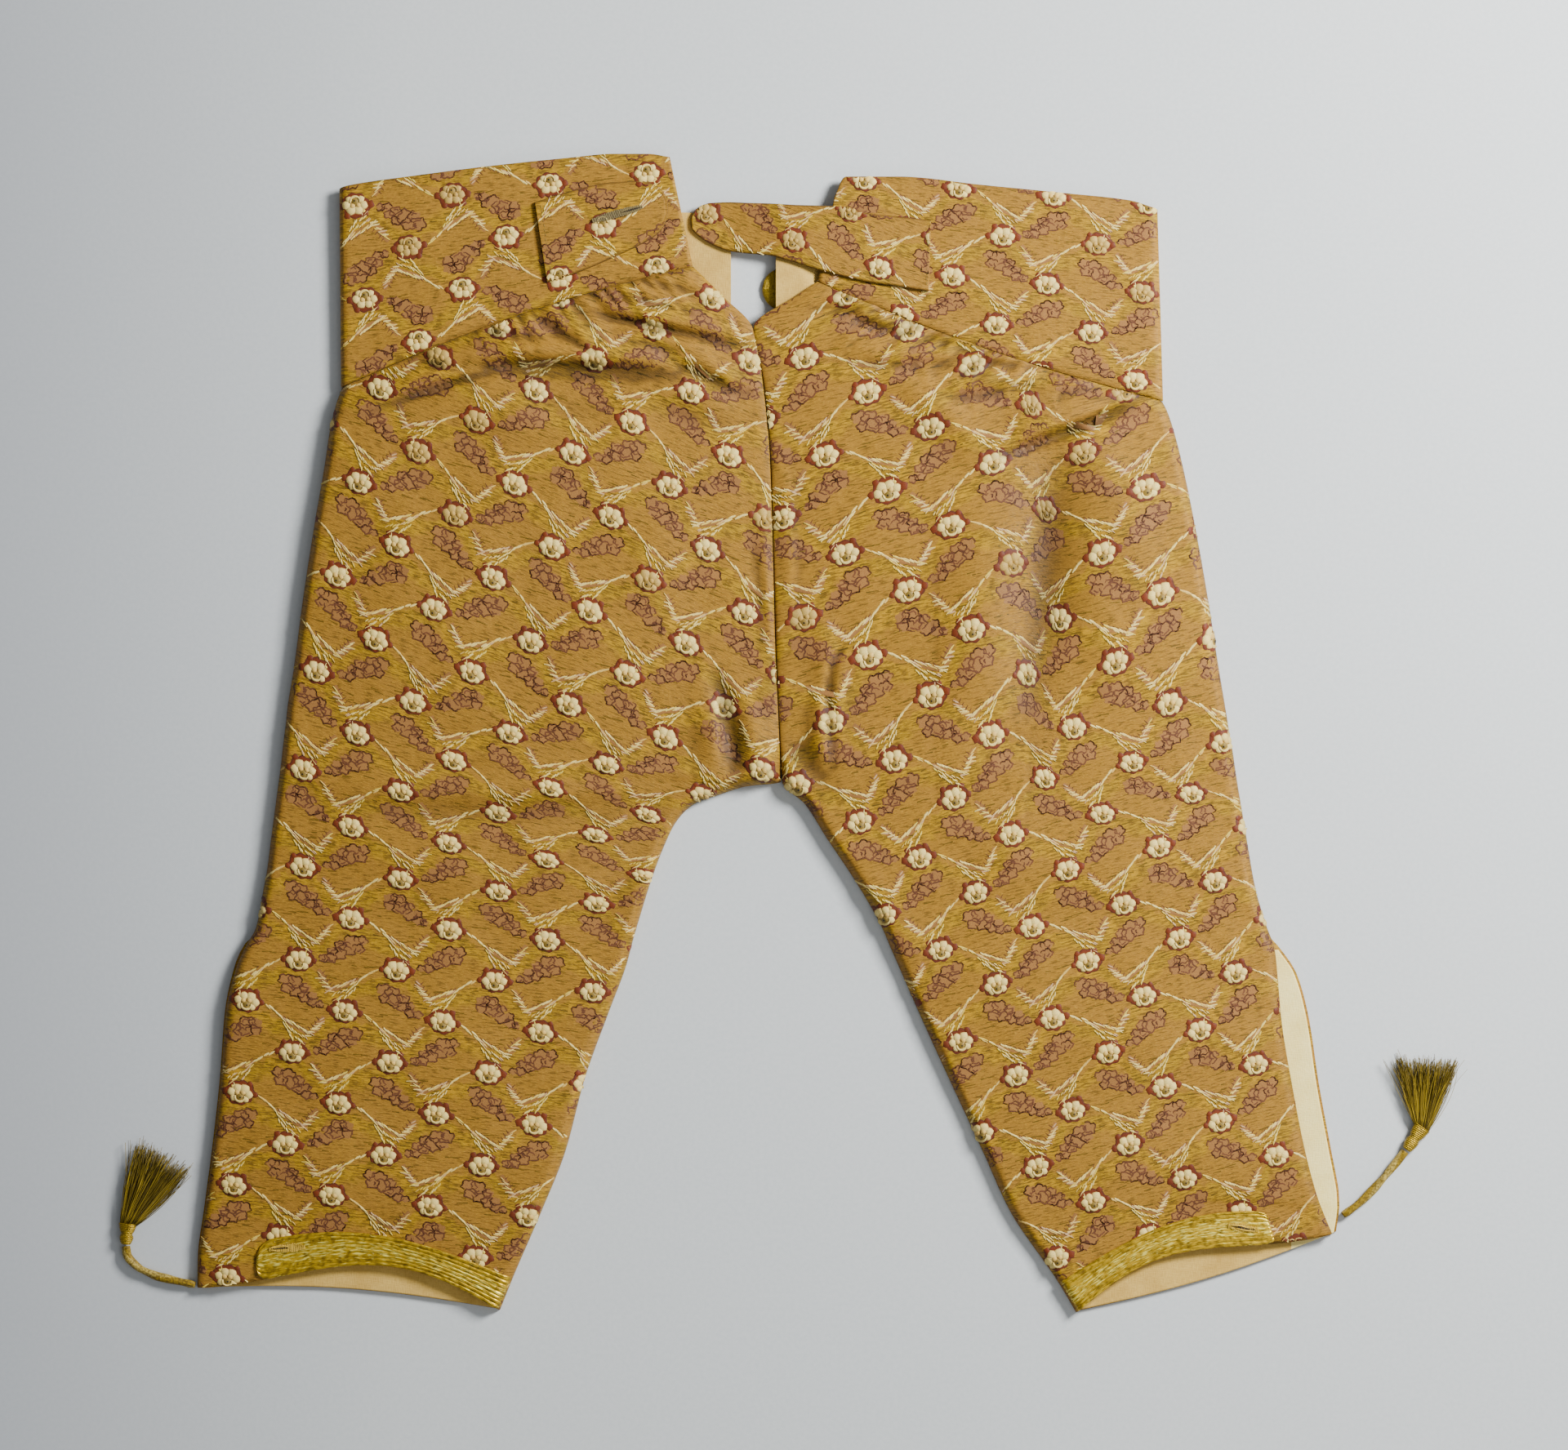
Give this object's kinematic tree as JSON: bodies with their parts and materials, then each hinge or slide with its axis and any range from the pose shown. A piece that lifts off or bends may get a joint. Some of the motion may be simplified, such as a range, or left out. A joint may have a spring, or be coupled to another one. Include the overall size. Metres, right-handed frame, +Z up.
{
  "type": "knee breeches",
  "caption": "Brocaded knee breeches laid flat with the back uppermost: waistband with a long strap and a tab, vent, full seat, side slits, gold knee braid, tie cords with tassels.",
  "frame": {"origin": "on the surface that the breeches lie on, under the middle of the garment's box, tie cords and tassels left out", "axes": "+Y towards the waist, +Z up off the surface, towards the back of the garment, +X to the right of the picture"},
  "size_m": [0.7388, 0.6396, 0.0158],
  "materials": {
    "brocade": "ochre gold silk with small brocaded cream flowers, feathered sprays and mauve-brown clusters",
    "lining": "plain cream weave",
    "gold_braid": "ribbed braid of gold thread",
    "gold_thread": "button mould wound with gold thread",
    "cord": "twisted cord of silver-beige and gold plies",
    "tassel": "dark olive silk threads under a gold-wound head"
  },
  "bodies": {
    "root": {"back_left": "brocade", "back_right": "brocade", "front_left": "brocade", "front_right": "brocade", "waistband_left": "brocade", "waistband_right": "brocade", "strap_right": "brocade", "tab_left": "brocade", "braid_left": "gold_braid", "braid_right": "gold_braid", "lining_knee_left": "lining", "lining_knee_right": "lining", "lining_waist_left": "lining", "lining_waist_right": "lining", "button_waist": "gold_thread", "tie_cord_left": "cord", "tie_cord_right": "cord", "tassel_left": "tassel", "tassel_right": "tassel"}
  },
  "joints": []
}
